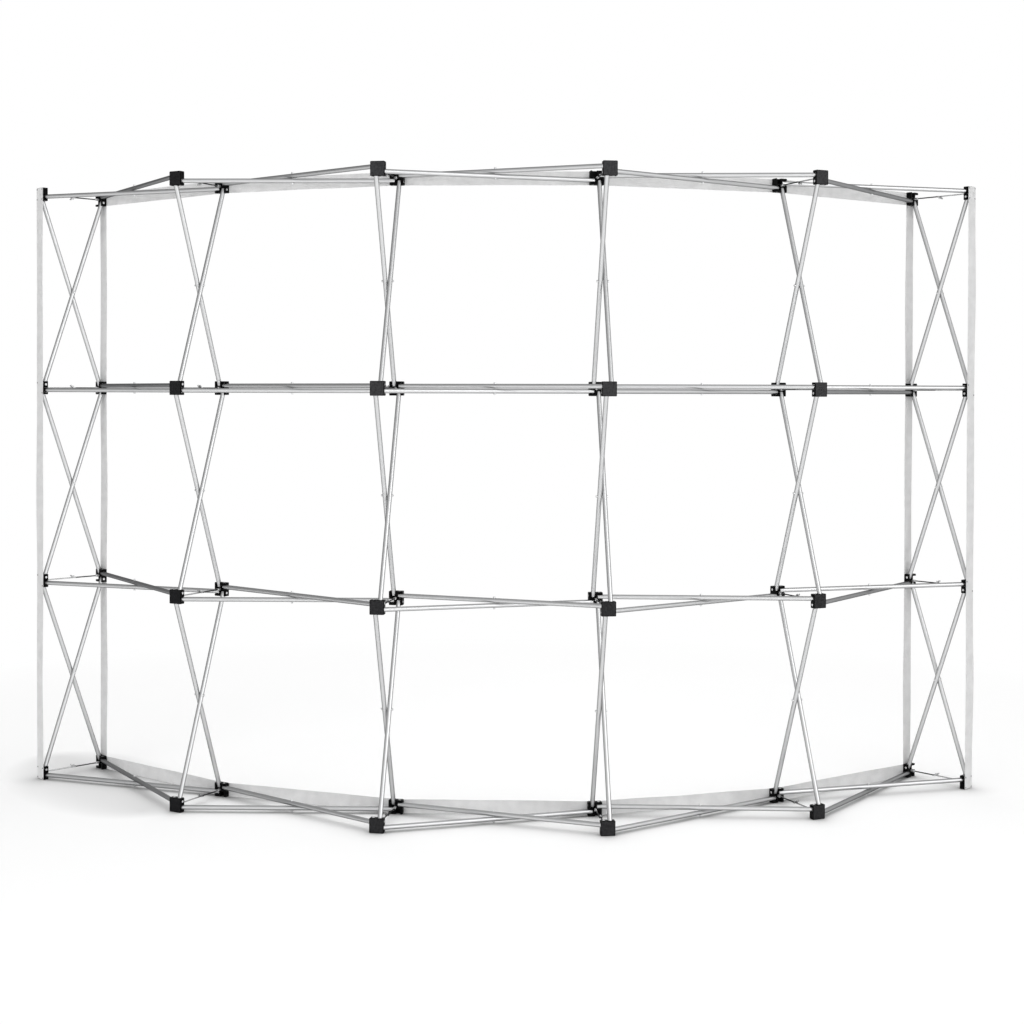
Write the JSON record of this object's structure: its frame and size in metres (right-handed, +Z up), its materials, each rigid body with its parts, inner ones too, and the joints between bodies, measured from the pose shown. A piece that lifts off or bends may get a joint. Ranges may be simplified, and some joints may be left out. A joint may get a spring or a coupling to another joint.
{
  "type": "curved pop-up banner wall",
  "caption": "Free-standing curved banner wall, shown without its banner: a folding lattice of crossed aluminium tubes and black corner hubs with hook locks, edged with strips of light grey loop tape.",
  "frame": {"origin": "middle of the floor area under the wall", "axes": "+Z up, +X along the wall's width, +Y towards the concave side that takes the banner"},
  "size_m": [3.5512, 0.9096, 2.255],
  "materials": {
    "hub_plastic": "moulded black nylon",
    "tube_aluminium": "satin anodised tube",
    "pin_steel": "plain steel pin or rivet",
    "lock_steel": "bright drawn rod",
    "hook_fabric": "black hook pad",
    "loop_tape": "light grey woven loop tape"
  },
  "bodies": {
    "frame": {"rear_hubs_c1": "hub_plastic", "front_hubs_c1": "hub_plastic", "rear_hubs_c2": "hub_plastic", "front_hubs_c2": "hub_plastic", "rear_hubs_c3": "hub_plastic", "front_hubs_c3": "hub_plastic", "rear_hubs_c4": "hub_plastic", "front_hubs_c4": "hub_plastic", "rear_hubs_c5": "hub_plastic", "front_hubs_c5": "hub_plastic", "rear_hubs_c6": "hub_plastic", "front_hubs_c6": "hub_plastic", "cross_bars_bottom": "tube_aluminium", "cross_bars_lower": "tube_aluminium", "cross_bars_upper": "tube_aluminium", "cross_bars_top": "tube_aluminium", "upright_bars_c1": "tube_aluminium", "upright_bars_c2": "tube_aluminium", "upright_bars_c3": "tube_aluminium", "upright_bars_c4": "tube_aluminium", "upright_bars_c5": "tube_aluminium", "upright_bars_c6": "tube_aluminium", "cross_rivets": "pin_steel", "rear_hub_pins": "pin_steel", "front_hub_pins": "pin_steel", "lock_arm_pins": "pin_steel", "strip_rivets": "pin_steel", "lock_ferrules": "lock_steel", "lock_catch_rods": "lock_steel", "rear_hook_pads": "hook_fabric", "front_hook_pads": "hook_fabric", "front_strip_bottom": "loop_tape", "front_strip_top": "loop_tape", "front_strip_sides": "loop_tape", "rear_end_strips": "loop_tape"},
    "lock_arm_c1_bottom": {"lock_arm_c1_bottom": "lock_steel"},
    "lock_arm_c1_lower": {"lock_arm_c1_lower": "lock_steel"},
    "lock_arm_c1_upper": {"lock_arm_c1_upper": "lock_steel"},
    "lock_arm_c1_top": {"lock_arm_c1_top": "lock_steel"},
    "lock_arm_c2_bottom": {"lock_arm_c2_bottom": "lock_steel"},
    "lock_arm_c2_lower": {"lock_arm_c2_lower": "lock_steel"},
    "lock_arm_c2_upper": {"lock_arm_c2_upper": "lock_steel"},
    "lock_arm_c2_top": {"lock_arm_c2_top": "lock_steel"},
    "lock_arm_c3_bottom": {"lock_arm_c3_bottom": "lock_steel"},
    "lock_arm_c3_lower": {"lock_arm_c3_lower": "lock_steel"},
    "lock_arm_c3_upper": {"lock_arm_c3_upper": "lock_steel"},
    "lock_arm_c3_top": {"lock_arm_c3_top": "lock_steel"},
    "lock_arm_c4_bottom": {"lock_arm_c4_bottom": "lock_steel"},
    "lock_arm_c4_lower": {"lock_arm_c4_lower": "lock_steel"},
    "lock_arm_c4_upper": {"lock_arm_c4_upper": "lock_steel"},
    "lock_arm_c4_top": {"lock_arm_c4_top": "lock_steel"},
    "lock_arm_c5_bottom": {"lock_arm_c5_bottom": "lock_steel"},
    "lock_arm_c5_lower": {"lock_arm_c5_lower": "lock_steel"},
    "lock_arm_c5_upper": {"lock_arm_c5_upper": "lock_steel"},
    "lock_arm_c5_top": {"lock_arm_c5_top": "lock_steel"},
    "lock_arm_c6_bottom": {"lock_arm_c6_bottom": "lock_steel"},
    "lock_arm_c6_lower": {"lock_arm_c6_lower": "lock_steel"},
    "lock_arm_c6_upper": {"lock_arm_c6_upper": "lock_steel"},
    "lock_arm_c6_top": {"lock_arm_c6_top": "lock_steel"}
  },
  "joints": [
    {"name": "lock_c1_bottom", "type": "hinge", "parent": "frame", "child": "lock_arm_c1_bottom", "pos_m": [-1.59019, 0.41581, 0.025], "axis": [-0.7071, 0.7071, 0], "range_deg": [0, 60]},
    {"name": "lock_c1_lower", "type": "hinge", "parent": "frame", "child": "lock_arm_c1_lower", "pos_m": [-1.59019, 0.41581, 0.76], "axis": [-0.7071, 0.7071, 0], "range_deg": [0, 60]},
    {"name": "lock_c1_upper", "type": "hinge", "parent": "frame", "child": "lock_arm_c1_upper", "pos_m": [-1.59019, 0.41581, 1.495], "axis": [-0.7071, 0.7071, 0], "range_deg": [0, 60]},
    {"name": "lock_c1_top", "type": "hinge", "parent": "frame", "child": "lock_arm_c1_top", "pos_m": [-1.59019, 0.41581, 2.23], "axis": [0.7071, -0.7071, 0], "range_deg": [0, 60]},
    {"name": "lock_c2_bottom", "type": "hinge", "parent": "frame", "child": "lock_arm_c2_bottom", "pos_m": [-1.02096, 0.00224, 0.025], "axis": [-0.891, 0.454, 0], "range_deg": [0, 60]},
    {"name": "lock_c2_lower", "type": "hinge", "parent": "frame", "child": "lock_arm_c2_lower", "pos_m": [-1.02096, 0.00224, 0.76], "axis": [-0.891, 0.454, 0], "range_deg": [0, 60]},
    {"name": "lock_c2_upper", "type": "hinge", "parent": "frame", "child": "lock_arm_c2_upper", "pos_m": [-1.02096, 0.00224, 1.495], "axis": [-0.891, 0.454, 0], "range_deg": [0, 60]},
    {"name": "lock_c2_top", "type": "hinge", "parent": "frame", "child": "lock_arm_c2_top", "pos_m": [-1.02096, 0.00224, 2.23], "axis": [0.891, -0.454, 0], "range_deg": [0, 60]},
    {"name": "lock_c3_bottom", "type": "hinge", "parent": "frame", "child": "lock_arm_c3_bottom", "pos_m": [-0.3518, -0.21518, 0.025], "axis": [-0.9877, 0.1564, 0], "range_deg": [0, 60]},
    {"name": "lock_c3_lower", "type": "hinge", "parent": "frame", "child": "lock_arm_c3_lower", "pos_m": [-0.3518, -0.21518, 0.76], "axis": [-0.9877, 0.1564, 0], "range_deg": [0, 60]},
    {"name": "lock_c3_upper", "type": "hinge", "parent": "frame", "child": "lock_arm_c3_upper", "pos_m": [-0.3518, -0.21518, 1.495], "axis": [-0.9877, 0.1564, 0], "range_deg": [0, 60]},
    {"name": "lock_c3_top", "type": "hinge", "parent": "frame", "child": "lock_arm_c3_top", "pos_m": [-0.3518, -0.21518, 2.23], "axis": [0.9877, -0.1564, 0], "range_deg": [0, 60]},
    {"name": "lock_c4_bottom", "type": "hinge", "parent": "frame", "child": "lock_arm_c4_bottom", "pos_m": [0.3518, -0.21518, 0.025], "axis": [-0.9877, -0.1564, 0], "range_deg": [0, 60]},
    {"name": "lock_c4_lower", "type": "hinge", "parent": "frame", "child": "lock_arm_c4_lower", "pos_m": [0.3518, -0.21518, 0.76], "axis": [-0.9877, -0.1564, 0], "range_deg": [0, 60]},
    {"name": "lock_c4_upper", "type": "hinge", "parent": "frame", "child": "lock_arm_c4_upper", "pos_m": [0.3518, -0.21518, 1.495], "axis": [-0.9877, -0.1564, 0], "range_deg": [0, 60]},
    {"name": "lock_c4_top", "type": "hinge", "parent": "frame", "child": "lock_arm_c4_top", "pos_m": [0.3518, -0.21518, 2.23], "axis": [0.9877, 0.1564, 0], "range_deg": [0, 60]},
    {"name": "lock_c5_bottom", "type": "hinge", "parent": "frame", "child": "lock_arm_c5_bottom", "pos_m": [1.02096, 0.00224, 0.025], "axis": [-0.891, -0.454, 0], "range_deg": [0, 60]},
    {"name": "lock_c5_lower", "type": "hinge", "parent": "frame", "child": "lock_arm_c5_lower", "pos_m": [1.02096, 0.00224, 0.76], "axis": [-0.891, -0.454, 0], "range_deg": [0, 60]},
    {"name": "lock_c5_upper", "type": "hinge", "parent": "frame", "child": "lock_arm_c5_upper", "pos_m": [1.02096, 0.00224, 1.495], "axis": [-0.891, -0.454, 0], "range_deg": [0, 60]},
    {"name": "lock_c5_top", "type": "hinge", "parent": "frame", "child": "lock_arm_c5_top", "pos_m": [1.02096, 0.00224, 2.23], "axis": [0.891, 0.454, 0], "range_deg": [0, 60]},
    {"name": "lock_c6_bottom", "type": "hinge", "parent": "frame", "child": "lock_arm_c6_bottom", "pos_m": [1.59019, 0.41581, 0.025], "axis": [-0.7071, -0.7071, 0], "range_deg": [0, 60]},
    {"name": "lock_c6_lower", "type": "hinge", "parent": "frame", "child": "lock_arm_c6_lower", "pos_m": [1.59019, 0.41581, 0.76], "axis": [-0.7071, -0.7071, 0], "range_deg": [0, 60]},
    {"name": "lock_c6_upper", "type": "hinge", "parent": "frame", "child": "lock_arm_c6_upper", "pos_m": [1.59019, 0.41581, 1.495], "axis": [-0.7071, -0.7071, 0], "range_deg": [0, 60]},
    {"name": "lock_c6_top", "type": "hinge", "parent": "frame", "child": "lock_arm_c6_top", "pos_m": [1.59019, 0.41581, 2.23], "axis": [0.7071, 0.7071, 0], "range_deg": [0, 60]}
  ]
}
